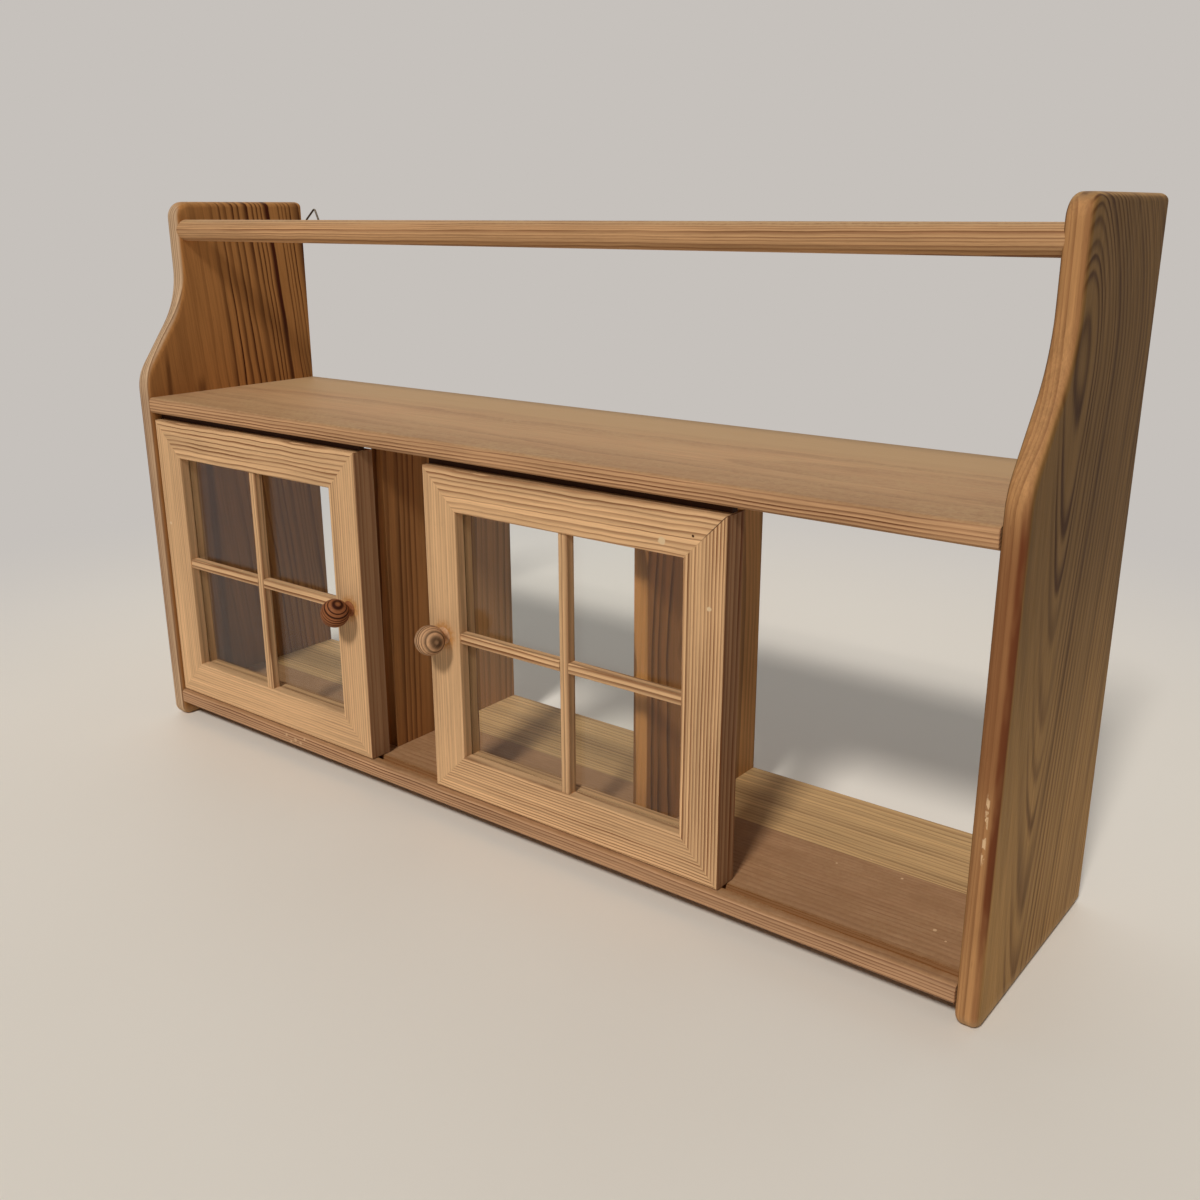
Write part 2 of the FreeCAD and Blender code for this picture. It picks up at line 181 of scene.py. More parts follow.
def use_group(tree, group, inputs):
    """Place a node group, fill its inputs and give its outputs."""
    node = tree.nodes.new("ShaderNodeGroup")
    node.node_tree = group
    fill_inputs(tree, node, inputs)
    return node.outputs


def srgb(red, green, blue):
    """Colour as a painter reads it off a screen, 0 to 255, in the linear values that shaders use."""
    linear = []
    for part in (red, green, blue):
        share = part / 255
        linear.append(share / 12.92 if share <= 0.04045 else ((share + 0.055) / 1.055) ** 2.4)
    return (*linear, 1.0)


print("group helpers ready")

# %% [markdown]
# ## Pine as a solid
# A board is a slice of a log. Its growth rings are sleeves round the heart of the log, and the picture on
# each face is where that face cuts the sleeves: arches where the saw ran along the sleeves, straight lines
# where it ran across them. A flat stripe pattern can't do that at a corner, so the group below works in the
# log's own coordinates, in millimetres: how far a point is from the heart decides its place in a ring.
# A stem tapers, so a board sawn along it shows rings that close into long tongues. A bend pulls the rings
# the other way above its start and closes them into pointed arches. A lopsided stem has rings that are
# wider on one side. Slow noise lets the rings wander and quicker noise makes them wavy.

# %% Where a point lies among the rings
SEED_STRIDE = 137
NOISE_SWING = 4.0
WEATHER_STEP = 0.43
WANDER_STRETCH = (0.014, 0.014, 0.0045)
WAVE_STRETCH = (0.05, 0.05, 0.024)

pine, inp, out = new_group(
    "pine",
    [("Place", "Vector"), ("Ring width", "Float"), ("Uneven", "Float"), ("Wander", "Float"),
     ("Wave", "Float"), ("Taper", "Float"), ("Bend", "Float"), ("Lopsided", "Float"), ("Seed", "Float"),
     ("Early wood", "Color"), ("Late wood", "Color"), ("Late share", "Float"), ("Soft end", "Float"),
     ("Depth", "Float")],
    [("Color", "Color"), ("Fibre", "Float"), ("Height", "Float")])

far_off = product(pine, inp["Seed"], SEED_STRIDE)
seed_step = add_node(pine, "ShaderNodeCombineXYZ", {0: far_off, 1: far_off, 2: far_off}).outputs[0]
place = vector_calc(pine, "ADD", inp["Place"], seed_step)

sideways, forwards, along = split(pine, inp["Place"])
lopsided = product(pine, calc(pine, "MINIMUM", forwards, 0.0), inp["Lopsided"])
depthways = calc(pine, "ADD", forwards, lopsided)
across = add_node(pine, "ShaderNodeCombineXYZ", {0: sideways, 1: depthways}).outputs[0]
from_heart = add_node(pine, "ShaderNodeVectorMath", {0: across}, operation="LENGTH").outputs["Value"]
above = calc(pine, "MAXIMUM", along, 0.0)
moves = [
    product(pine, along, inp["Taper"]),
    product(pine, above, above, inp["Bend"]),
    product(pine, about_zero(pine, place, WANDER_STRETCH, 1.0), NOISE_SWING, inp["Wander"]),
    product(pine, about_zero(pine, place, WAVE_STRETCH, 1.5), NOISE_SWING, inp["Wave"]),
]
moved = from_heart
for move in moves:
    moved = calc(pine, "ADD", moved, move)

even_count = calc(pine, "DIVIDE", moved, inp["Ring width"])
year = calc(pine, "ADD", product(pine, even_count, WEATHER_STEP), inp["Seed"])
inputs = {"W": year, "Scale": 1.0, "Detail": 0.0}
weather = add_node(pine, "ShaderNodeTexNoise", inputs, noise_dimensions="1D").outputs[0]
count = calc(pine, "ADD", even_count, product(pine, weather, inp["Uneven"]))
print("rings are set out")

# %% [markdown]
# In pine each ring starts pale, darkens slowly and ends at a sharp edge, or at a softer one where the face
# lies nearly along it. Every ring gets its own luck from its number: how broad and how dark its late wood
# is, and a slight tone of its own. Noise stretched along the grain gives fibres in two sizes and dark flecks.

# %% Colour of the rings
DICE_STRIDE = 17.3
LASTING_STRETCH = (0.06, 0.06, 0.009)
FIBRE_STRETCH = (1.4, 1.4, 0.03)
STRAND_STRETCH = (0.42, 0.42, 0.009)
TONE_STRETCH = (0.03, 0.03, 0.005)
FLECK_STRETCH = (2.2, 2.2, 0.12)

through_ring = calc(pine, "FRACT", count)
ring_number = calc(pine, "ADD", calc(pine, "FLOOR", count), product(pine, inp["Seed"], DICE_STRIDE))
dice = add_node(pine, "ShaderNodeTexWhiteNoise", {"W": ring_number}, noise_dimensions="1D").outputs["Color"]
luck = add_node(pine, "ShaderNodeSeparateColor", {0: dice}).outputs

band_width = product(pine, inp["Late share"], ramp_up(pine, luck[1], 0.0, 1.0, 0.6, 1.4))
darkest = calc(pine, "SUBTRACT", 1.0, inp["Soft end"])
darkening = ramp_up(pine, through_ring, calc(pine, "SUBTRACT", darkest, band_width), darkest)
ending = ramp_up(pine, through_ring, darkest, 1.0, 1.0, 0.0)
strong = ramp_up(pine, luck[0], 0.0, 1.0, 0.62, 1.0)
lasting = ramp_up(pine, noise(pine, place, LASTING_STRETCH, 1.0), 0.3, 0.6, 0.6, 1.0)
late = product(pine, darkening, ending, strong, lasting)

fibre = about_zero(pine, place, FIBRE_STRETCH, 3.0, 0.6)
strand = about_zero(pine, place, STRAND_STRETCH)
tone = about_zero(pine, place, TONE_STRETCH)
fleck = ramp_up(pine, noise(pine, place, FLECK_STRETCH, 1.0), 0.64, 0.76)

shades = [
    product(pine, fibre, 0.5),
    product(pine, strand, 0.5),
    product(pine, tone, 0.45),
    ramp_up(pine, luck[2], 0.0, 1.0, -0.05, 0.05),
    product(pine, fleck, -0.16),
]
level = 1.0
for shade in shades:
    level = calc(pine, "ADD", level, shade)
wood = mix_colours(pine, product(pine, late, inp["Depth"]), inp["Early wood"], inp["Late wood"])
shaded = add_node(pine, "ShaderNodeVectorMath", {0: wood, "Scale": level}, operation="SCALE").outputs[0]
pine.links.new(shaded, out["Color"])
pine.links.new(fibre, out["Fibre"])
relief = calc(pine, "ADD", product(pine, late, 0.2), product(pine, fibre, 0.8))
pine.links.new(calc(pine, "SUBTRACT", relief, product(pine, fleck, 0.4)), out["Height"])
print("pine group has", len(pine.nodes), "nodes")

# %% [markdown]
# ## Worn arrises
# Hands and years darken and chip the sharp edges of a board first. An edge can be found from the mesh, but
# these boards have few vertices. The Bevel node gives the normal that a rounded edge would have, so where
# it leaves the true normal there is an arris nearby. Noise breaks the line up. The gables have a wide
# round-over instead, and there the normal itself tells: it points between the face and the edge.

# %% The worn arris groups
def patches(tree, seed, stretch, low, high, least):
    """Broken patches over the object, from a least level to one."""
    step = add_node(tree, "ShaderNodeCombineXYZ", {0: seed}).outputs[0]
    spread = noise(tree, vector_calc(tree, "ADD", here(tree), step), stretch, 3.0, 0.6)
    return ramp_up(tree, spread, low, high, least)


worn, inp, out = new_group("worn_arris", [("Reach", "Float"), ("Seed", "Float")], [("Mask", "Float")])
softened = add_node(worn, "ShaderNodeBevel", {"Radius": inp["Reach"]}, samples=6).outputs[0]
true_normal = worn.nodes.new("ShaderNodeNewGeometry").outputs["Normal"]
pair = {0: softened, 1: true_normal}
alike = add_node(worn, "ShaderNodeVectorMath", pair, operation="DOT_PRODUCT").outputs["Value"]
near_edge = ramp_up(worn, alike, 0.995, 0.85)
patchy = patches(worn, inp["Seed"], (70, 70, 70), 0.38, 0.62, 0.15)
worn.links.new(product(worn, near_edge, patchy), out["Mask"])

round_over, inp, out = new_group(
    "worn_round_over", [("Side", "Float"), ("Seed", "Float")], [("Mask", "Float")])
normal_x, normal_y = normal_parts(round_over)[:2]
outwards = product(round_over, normal_x, inp["Side"])
rise = ramp_up(round_over, outwards, 0.0, 0.45, 0.3, 1.0)
fall = ramp_up(round_over, outwards, 0.88, 0.995, 1.0, 0.0)
in_front = ramp_up(round_over, normal_y, -0.03, -0.25)
patchy = patches(round_over, inp["Seed"], (60, 60, 14), 0.36, 0.56, 0.6)
round_over.links.new(product(round_over, rise, fall, in_front, patchy), out["Mask"])
print("worn arris groups have", len(worn.nodes), "and", len(round_over.nodes), "nodes")

# %% [markdown]
# ## Dust and marks
# Fine dust lies on whatever faces up, and it greys the wood. A few small round marks, such as dots of
# filler, chips and a nail hole, are set out by their places. Both are masks, so they are groups that any
# board can use.

# %% Dust and mark groups
dust, inp, out = new_group("dust", [("Amount", "Float"), ("Seed", "Float")], [("Mask", "Float")])
facing_up = ramp_up(dust, normal_parts(dust)[2], 0.5, 0.95)
drifts = patches(dust, inp["Seed"], (14, 30, 14), 0.3, 0.7, 0.5)
grains = patches(dust, inp["Seed"], (320, 320, 320), 0.35, 0.65, 0.45)
dust.links.new(product(dust, facing_up, drifts, grains, inp["Amount"]), out["Mask"])

mark, inp, out = new_group(
    "mark", [("Centre", "Vector"), ("Radius", "Float"), ("Softness", "Float")], [("Mask", "Float")])
pair = {0: here(mark), 1: inp["Centre"]}
away = add_node(mark, "ShaderNodeVectorMath", pair, operation="DISTANCE").outputs["Value"]
ragged = product(mark, about_zero(mark, here(mark), (420, 420, 420)), inp["Radius"])
inner = calc(mark, "SUBTRACT", inp["Radius"], inp["Softness"])
outer = calc(mark, "ADD", inp["Radius"], inp["Softness"])
mark.links.new(ramp_up(mark, calc(mark, "ADD", away, ragged), inner, outer, 1.0, 0.0), out["Mask"])
print("dust and mark groups ready")

# %% [markdown]
# ## A board cut from a log
# Each board gets its own material, because each was cut from another place in a log. The heart line of the
# log is given by one point on it and the direction of the grain, both in the cabinet's own frame. One
# Mapping node turns that line onto the Z axis and scales metres to millimetres, and the pine group does
# the rest. How clear the rings are may change over a board, so the depth can be a list of steps along an
# axis or over the turn of the surface. The finish is a thin lacquer that has gone dull, with a weak shine.

# %% Boards from logs
def heart_mapping(tree, heart, grain):
    """Coordinates in millimetres from the heart of a log, with Z along its grain."""
    turn = Vector(grain).rotation_difference(Vector((0, 0, 1)))
    inputs = {
        "Vector": here(tree),
        "Location": -(turn @ Vector(heart)),
        "Rotation": turn.to_euler(),
        "Scale": (1000, 1000, 1000),
    }
    return add_node(tree, "ShaderNodeMapping", inputs).outputs[0]


def change(tree, kind, low, high, start, end):
    """Value that changes along x, y, z or x-z in millimetres, or as the normal turns to nx, ny or nz."""
    if kind[0] == "n":
        size = calc(tree, "ABSOLUTE", normal_parts(tree)["xyz".index(kind[1])])
        return ramp_up(tree, size, low, high, start, end)
    parts = split(tree, here(tree))
    place = calc(tree, "SUBTRACT", parts[0], parts[2]) if kind == "x-z" else parts["xyz".index(kind)]
    return ramp_up(tree, place, low * MM, high * MM, start, end)


def changes(tree, *steps):
    """Several such values multiplied together."""
    return product(tree, *[change(tree, *step) for step in steps])


print("places in a log can be found")

# %% Cuts and lacquer
DULLEST = 0.62
SMOOTHEST = 0.5
SHINE = 0.06
BUMP_STRENGTH = 0.2
BUMP_HEIGHT = 0.4 * MM


def cut_from_log(tree, heart, grain, ring, early, late, seed, share=0.6, depth=1.0, soft=0.08,
                 uneven=1.2, wander=1.2, wave=0.4, taper=0.0, bend=0.0, lopsided=0.0):
    """One use of the pine group."""
    return use_group(tree, pine, {
        "Place": heart_mapping(tree, heart, grain),
        "Ring width": ring,
        "Uneven": uneven,
        "Wander": wander,
        "Wave": wave,
        "Taper": taper,
        "Bend": bend,
        "Lopsided": lopsided,
        "Seed": seed,
        "Early wood": early,
        "Late wood": late,
        "Late share": share,
        "Soft end": soft,
        "Depth": changes(tree, *depth) if isinstance(depth, list) else depth,
    })


def new_material(name):
    """Material with its tree and its Principled shader."""
    material = bpy.data.materials.new(name)
    material.use_nodes = True
    tree = material.node_tree
    return material, tree, tree.nodes["Principled BSDF"]


def lacquer(tree, shader, colour, wood):
    """Finish wood with dull lacquer."""
    tree.links.new(colour, shader.inputs["Base Color"])
    tree.links.new(ramp_up(tree, wood["Fibre"], -0.3, 0.3, DULLEST, SMOOTHEST), shader.inputs["Roughness"])
    inputs = {"Height": wood["Height"], "Strength": BUMP_STRENGTH, "Distance": BUMP_HEIGHT}
    tree.links.new(add_node(tree, "ShaderNodeBump", inputs).outputs[0], shader.inputs["Normal"])
    shader.inputs["Specular IOR Level"].default_value = SHINE


print("board helpers ready")

# %% Wear, dust and marks on a board
# Colour of dust, also used as painted light on the back of the middle shelf's top.
DUST_AND_LIGHT = srgb(191, 157, 116)


def dusted(tree, colour, amount, seed):
    """Dust over what faces up."""
    mask = use_group(tree, dust, {"Amount": amount, "Seed": seed})["Mask"]
    return mix_colours(tree, mask, colour, DUST_AND_LIGHT)


def marked(tree, colour, centre, radius, softness, paint, share=1.0):
    """Round mark, its place and sizes in millimetres."""
    inputs = {"Centre": Vector(centre) * MM, "Radius": radius * MM, "Softness": softness * MM}
    mask = use_group(tree, mark, inputs)["Mask"]
    return mix_colours(tree, product(tree, mask, share), colour, paint)


def worn_edges(tree, colour, wear, reach, seed):
    """Worn arrises, their reach in millimetres."""
    mask = use_group(tree, worn, {"Reach": reach * MM, "Seed": seed})["Mask"]
    return mix_colours(tree, mask, colour, wear)


def stained_and_shaded(tree, colour, stains_and_shades):
    """Stains, painted shade and painted light, each of them a colour and the steps that bound it."""
    for paint, steps in stains_and_shades:
        colour = mix_colours(tree, changes(tree, *steps), colour, paint)
    return colour


def board(name, log, wear=None, reach=1.5, dusty=0.0, marks=(), stains_and_shades=()):
    """Material of one board."""
    material, tree, shader = new_material(name)
    wood = cut_from_log(tree, **log)
    colour = wood["Color"]
    if wear:
        colour = worn_edges(tree, colour, wear, reach, log["seed"])
    for one in marks:
        colour = marked(tree, colour, *one)
    colour = stained_and_shaded(tree, colour, stains_and_shades)
    if dusty:
        colour = dusted(tree, colour, dusty, log["seed"])
    lacquer(tree, shader, colour, wood)
    return material


def finish(names, material):
    """Give CAD nodes a material."""
    for name in names:
        slots = nodes[name].data.materials
        slots.clear()
        slots.append(material)


print("board material ready")

# %% [markdown]
# ## The gables
# The inner face of the left gable lies along the rings at the front, where it is plain, and across them at
# the back, where it has leaning dark stripes, and it has painted shade in the bay. The outer face of the
# right
# gable was sawn close to the heart: long tongues close downwards, and pointed arches stand near the top,
# where the stem bent. Its front part is plain, and painted shade on its faces deepens towards the top. On
# both, the rounded outer edge is worn to a reddish brown below the shelf, and the right one is chipped to
# pale wood low down. Each gable is a mix of two cuts, one for its faces and one for its edges, and the turn
# of the surface chooses between them.

# %% Gable materials
AMBER = srgb(188, 132, 77)
AMBER_LATE = srgb(72, 31, 14)
HONEY = srgb(176, 135, 82)
HONEY_LATE = srgb(90, 54, 24)
# Reddish brown of worn wood, also used as painted shade on the right sides of the doors.
RED_WEAR_AND_SHADE = srgb(106, 59, 34)
CHIP = srgb(214, 180, 140)
DRY_EDGE = srgb(196, 166, 134)
DRY_EDGE_LATE = srgb(126, 92, 62)
PINK_EDGE = srgb(184, 137, 90)
PINK_EDGE_LATE = srgb(108, 64, 38)
# Colour of the painted shade on the gables.
PAINTED_SHADE = srgb(52, 34, 12)
FACE_TO_EDGE = ("ny", 0.35, 0.8, 0.0, 1.0)
HANDLED_PART = [("z", 295, 330, 1.0, 0.25), ("z", 20, 80, 0.4, 1.0)]
CHIPPED_STRIP = [
    ("x", 392.2, 392.8, 0.0, 1.0),
    ("x", 394.0, 394.8, 1.0, 0.0),
    ("z", 108, 116, 0.0, 1.0),
    ("z", 148, 156, 1.0, 0.0),
    ("y", -80, -70, 1.0, 0.0),
]
DUSTY_FOOT = (DUST_AND_LIGHT, [("z", 2, 12, 0.45, 0.0)])


def gable(name, side, log, edge, stains_and_shades=()):
    """Material of a gable with its outer side at -1 or 1, and with an edge of its own rings."""
    material, tree, shader = new_material(name)
    wood = cut_from_log(tree, **log)
    rim = cut_from_log(tree, **edge)
    colour = mix_colours(tree, change(tree, *FACE_TO_EDGE), wood["Color"], rim["Color"])
    colour = stained_and_shaded(tree, colour, stains_and_shades)
    handled = use_group(tree, round_over, {"Side": side, "Seed": log["seed"]})["Mask"]
    handled = product(tree, handled, changes(tree, *HANDLED_PART))
    colour = mix_colours(tree, handled, colour, RED_WEAR_AND_SHADE)
    broken = patches(tree, log["seed"], (340, 340, 130), 0.48, 0.54, 0.0)
    chipped = product(tree, changes(tree, *CHIPPED_STRIP), broken)
    colour = mix_colours(tree, chipped, colour, CHIP)
    colour = stained_and_shaded(tree, colour, [DUSTY_FOOT])
    colour = dusted(tree, colour, 0.6, log["seed"])
    lacquer(tree, shader, colour, wood)
    return material


print("gable material ready")

# %% Finish the gables
finish(["left_gable"], gable(
    "pine_left_gable", -1,
    dict(heart=(-300, -60, 380), grain=(0.0, -0.09, 1), ring=5.4, wander=1.6, wave=0.6, uneven=1.2,
         seed=1.3, early=AMBER, late=AMBER_LATE, share=0.6,
         depth=[("y", -10, 30, 0.25, 1.2), ("z", 280, 310, 0.55, 1.0)]),
    dict(heart=(-300, -60, 380), grain=(0, 0, 1), ring=3.6, wander=0.4, wave=0.1, seed=1.9,
         early=DRY_EDGE, late=DRY_EDGE_LATE, share=0.5),
    [(AMBER_LATE, [("y", -63, -60, 0.0, 0.6), ("y", -58.5, -56, 1.0, 0.0), ("z", 325, 352, 1.0, 0.0)]),
     (AMBER_LATE, [("y", -32, -28, 0.0, 0.5), ("y", -24, -20, 1.0, 0.0), ("z", 306, 322, 1.0, 0.0)]),
     # Painted shade on the inner face below the middle shelf.
     (PAINTED_SHADE, [("x", -387, -385.6, 0.0, 0.3), ("z", 285, 300, 1.0, 0.0)])]))
finish(["right_gable"], gable(
    "pine_right_gable", 1,
    dict(heart=(412, -24, 370), grain=(0, 0, 1), ring=6.5, wander=1.6, wave=0.5, uneven=1.3,
         taper=-0.148, bend=0.0054, lopsided=-0.2, seed=4.1,
         early=HONEY, late=HONEY_LATE, share=0.6, soft=0.3,
         depth=[("y", -56, -38, 0.1, 1.0), ("y", 0, 50, 1.0, 0.65), ("z", 120, 340, 0.75, 1.15)]),
    dict(heart=(330, -60, 380), grain=(0, 0, 1), ring=3.2, wander=0.6, wave=0.2, seed=4.6,
         early=PINK_EDGE, late=PINK_EDGE_LATE, share=0.6, depth=0.45),
    # Painted shade on the flat faces, deeper towards the top.
    [(PAINTED_SHADE, [("nx", 0.6, 0.95, 0.0, 1.0), ("z", 60, 330, 0.0, 0.57)]),
     (RED_WEAR_AND_SHADE, [FACE_TO_EDGE, ("z", 120, 180, 0.0, 0.5), ("z", 280, 325, 1.0, 0.0)])]))
print("gables finished")

# %% [markdown]
# ## Shelves, dividers and rail
# The shelves were cut far from the heart, with the rings nearly flat in the board, so their front edges
# show five or six strong lines while their tops are calm and dusty. One depth for the whole board would put
# strong lines on the top too, so the depth falls where the surface faces up. The top of the middle shelf has
# painted shade in front and painted light at the back.

# %% Colours of shelves, dividers and rail, and the middle shelf
TAN = srgb(190, 148, 109)
TAN_LATE = srgb(94, 52, 30)
FOX = srgb(184, 144, 109)
FOX_LATE = srgb(98, 56, 34)
# Pale plank colour, also used as painted light on the back of the dividers.
PALE_PLANK_AND_LIGHT = srgb(205, 169, 119)
PALE_PLANK_LATE = srgb(124, 86, 50)
RAIL = srgb(192, 150, 108)
RAIL_LATE = srgb(106, 62, 36)
# A dull film, also used as painted shade on the front of the middle shelf's top.
FILM_AND_SHADE = srgb(150, 110, 76)
UMBER = srgb(176, 124, 75)
UMBER_LATE = srgb(82, 46, 24)
POOLED = srgb(140, 92, 46)
EDGE_LINES = [("nz", 0.5, 0.9, 1.0, 0.4)]
FACES_UP = ("nz", 0.5, 0.9, 0.0, 1.0)

finish(["middle_shelf"], board("pine_middle_shelf", dict(
    heart=(0, -5, 0), grain=(1, 0.004, 0.003), ring=2.4, wander=0.9, wave=0.35, uneven=0.4, seed=7.7,
    early=TAN, late=TAN_LATE, share=0.55, depth=EDGE_LINES), wear=RED_WEAR_AND_SHADE, dusty=0.8, stains_and_shades=[
        # Painted shade on the front of the top and painted light at its back.
        (FILM_AND_SHADE, [FACES_UP, ("y", -83, -20, 0.6, 0.0)]),
        (DUST_AND_LIGHT, [FACES_UP, ("y", 20, 60, 0.0, 0.9)])]))
print("middle shelf finished")

# %% [markdown]
# The bottom shelf is glued up from two planks, a brown one in front and a paler one behind. Two materials
# would need a cut through the mesh at the joint, so one material holds both cuts of wood and changes over
# there. Lacquer has pooled to a dark gold round the groove, and crumbs and scuffs are set by their places.

# %% The bottom shelf
PLANK_JOINT = 19.6
GROOVE_FRONT = -72.28
GROOVE_BACK = -65.78
GLUE_LINE = (AMBER_LATE, [
    ("y", PLANK_JOINT - 0.5, PLANK_JOINT - 0.1, 0.0, 0.5),
    ("y", PLANK_JOINT + 0.1, PLANK_JOINT + 0.5, 1.0, 0.0),
])
POOL = (POOLED, [
    ("y", GROOVE_FRONT - 7, GROOVE_FRONT + 1, 0.0, 0.75),
    ("y", GROOVE_BACK - 1, GROOVE_BACK + 4, 1.0, 0.0),
    ("z", 21.5, 22, 0.0, 1.0),
])


def two_planks(name, front, back, marks):
    """Material of a shelf that is glued up from two planks."""
    material, tree, shader = new_material(name)
    near = cut_from_log(tree, **front)
    far = cut_from_log(tree, **back)
    behind = changes(tree, ("y", PLANK_JOINT - 0.15, PLANK_JOINT + 0.15, 0.0, 1.0))
    colour = mix_colours(tree, behind, near["Color"], far["Color"])
    film = product(tree, changes(tree, ("nz", 0.5, 0.9, 0.0, 0.85)), calc(tree, "SUBTRACT", 1.0, behind))
    film = product(tree, film, patches(tree, front["seed"], (40, 70, 40), 0.35, 0.65, 0.65))
    colour = mix_colours(tree, film, colour, FILM_AND_SHADE)
    colour = stained_and_shaded(tree, colour, [GLUE_LINE])
    colour = worn_edges(tree, colour, RED_WEAR_AND_SHADE, 1.5, front["seed"])
    colour = stained_and_shaded(tree, colour, [POOL])
    colour = dusted(tree, colour, 0.3, front["seed"])
    for one in marks:
        colour = marked(tree, colour, *one)
    lacquer(tree, shader, colour, near)
    return material


crumbs = [((x, y, 27), radius, 0.3, CHIP) for x, y, radius in (
    (262.8, 4.1, 0.8), (279.8, 23.3, 0.6), (307.8, 12.5, 0.9), (351.2, -33.4, 1.3), (361.6, -41.2, 0.7))]
scuffs = [((x, -82, z), radius, 0.6, CHIP, 0.6) for x, z, radius in (
    (-229.5, 22.2, 1.4), (-223.7, 17.5, 1.3), (-217.5, 20.5, 1.6), (-210.7, 19.0, 1.5), (-205.4, 24.0, 1.2))]
finish(["bottom_shelf"], two_planks(
    "pine_bottom_shelf",
    dict(heart=(0, -130, -150), grain=(1, 0.004, 0.0), ring=2.3, wander=0.9, wave=0.35, uneven=0.3,
         seed=9.2, early=FOX, late=FOX_LATE, share=0.55, depth=[("y", -60, -10, 1.0, 0.6)]),
    dict(heart=(0, 160, -60), grain=(1, -0.012, 0.0), ring=3.4, wander=1.2, wave=0.5, uneven=0.8, seed=3.9,
         early=PALE_PLANK_AND_LIGHT, late=PALE_PLANK_LATE, share=0.6, depth=0.7),
    crumbs + scuffs))
print("bottom shelf finished with", len(crumbs + scuffs), "marks")

# %% [markdown]
# The rail is a dowel with lines along it and dust on top. The dividers are dark amber with upright streaks,
# and painted paler towards the back as light that falls on them there. The dowels in the joints are hidden
# until the cabinet is taken apart, so they get a plain cut with no wear.

# %% Rail, dividers and dowels
finish(["top_rail"], board("pine_top_rail", dict(
    heart=(0, -60, 300), grain=(1, 0.003, 0.004), ring=2.1, wander=0.5, wave=0.3, seed=2.6,
    early=RAIL, late=RAIL_LATE, share=0.65, depth=0.85), dusty=0.85))
# Painted light on the back part of the dividers.
painted_light_behind = (PALE_PLANK_AND_LIGHT, [("y", -20, 25, 0.0, 0.25)])
finish(["left_divider"], board("pine_left_divider", dict(
    heart=(-190, -130, 150), grain=(0.01, 0.015, 1), ring=7.0, wander=1.0, wave=0.4, seed=5.4,
    early=UMBER, late=UMBER_LATE, share=0.6, depth=0.8), wear=RED_WEAR_AND_SHADE, stains_and_shades=[painted_light_behind]))
finish(["right_divider"], board("pine_right_divider", dict(
    heart=(112, -5, 150), grain=(0.03, 0.01, 1), ring=7.0, wander=1.4, wave=0.6, bend=0.0006, seed=6.9,
    early=AMBER, late=UMBER_LATE, share=0.6, depth=0.8), wear=RED_WEAR_AND_SHADE, stains_and_shades=[painted_light_behind]))
finish(["shelf_dowels", "divider_dowels"], board("pine_dowels", dict(
    heart=(0, 20, 100), grain=(1, 0, 0), ring=2.5, seed=3.3, early=TAN, late=TAN_LATE)))
print("rail, dividers and dowels finished")

# %% [markdown]
# ## The door frames
# The doors are of younger, paler pine with straight grain along each member, so the lines turn at the
# mitres as in a picture frame. Each member is a stick of its own, cut well away from the heart: the rails
# have wavy lines 2 to 4 mm apart, one stile has close strong lines and the others are plainer. Dots of
# filler cover the nails, lacquer has pooled to gold round the feet of the knobs, and the runners on top are
# painted near black as shade. One mitre has opened a little at its outer end, and the right sides of the
# doors have painted shade.

# %% Door sticks
STRAW = srgb(212, 172, 129)
STRAW_LATE = srgb(108, 62, 32)
DOOR_WEAR = srgb(198, 160, 116)
# Near black: painted shade on the runners, and grime in the open mitre.
GRIME_AND_SHADE = srgb(58, 34, 22)
FILLER = srgb(216, 188, 150)
NAIL_HOLE = srgb(74, 44, 26)
GOLD = srgb(188, 126, 52)
DOOR_FRONT = -79.03
DOOR_TOP = 284.8
KNOB_UP = 156.3
MITRE = 217.0 - DOOR_TOP
RAIL_GRAIN = (1, 0.002, 0.004)
STILE_GRAIN = (0.003, 0.002, 1)


def stick(heart, grain, ring, seed, share=0.6, wave=0.2, depth=0.75):
    """A stick of door pine."""
    return dict(heart=heart, grain=grain, ring=ring, seed=seed, share=share, wave=wave, depth=depth,
                wander=0.6, uneven=0.25, early=STRAW, late=STRAW_LATE)


def on_front(x, z):
    """Point on the front of the doors."""
    return (x, DOOR_FRONT, z)


door_marks = {
    "left_door_left_stile": [(on_front(-376.9, 191.2), 1.6, 0.4, FILLER)],
    "left_door_right_stile": [(on_front(-137.25, KNOB_UP), 9.5, 4.0, GOLD, 0.7)],
    "right_door_left_stile": [(on_front(-30.25, KNOB_UP), 9.5, 4.0, GOLD, 0.7)],
    "right_door_right_stile": [(on_front(205.7, 223.6), 1.7, 0.4, FILLER)],
    "right_door_top_rail": [
        (on_front(168.9, 261.8), 2.6, 0.5, FILLER),
        (on_front(192.6, 268.7), 0.9, 0.2, NAIL_HOLE),
    ],
}
line_depth = {
    "left_door_bottom_rail": 0.45,
    "left_door_left_stile": 0.4,
    "left_door_right_stile": 0.6,
    "right_door_left_stile": 0.3,
    "right_door_right_stile": 1.0,
}
# Painted shade on the runners above the tops of the doors.
runner_shade = (GRIME_AND_SHADE, [("z", DOOR_TOP + 0.2, DOOR_TOP + 0.6, 0.0, 1.0)])
open_mitre = (GRIME_AND_SHADE, [
    ("x-z", MITRE - 0.6, MITRE - 0.2, 0.0, 1.0),
    ("x-z", MITRE + 0.2, MITRE + 0.6, 1.0, 0.0),
    ("x", 196, 206, 0.0, 0.85),
])


def shaded_right_side(x):
    """Painted shade on the right side of a door, which ends at x."""
    return (RED_WEAR_AND_SHADE, [("nx", 0.6, 0.9, 0.0, 0.55), ("x", x - 1.0, x - 0.3, 0.0, 1.0)])


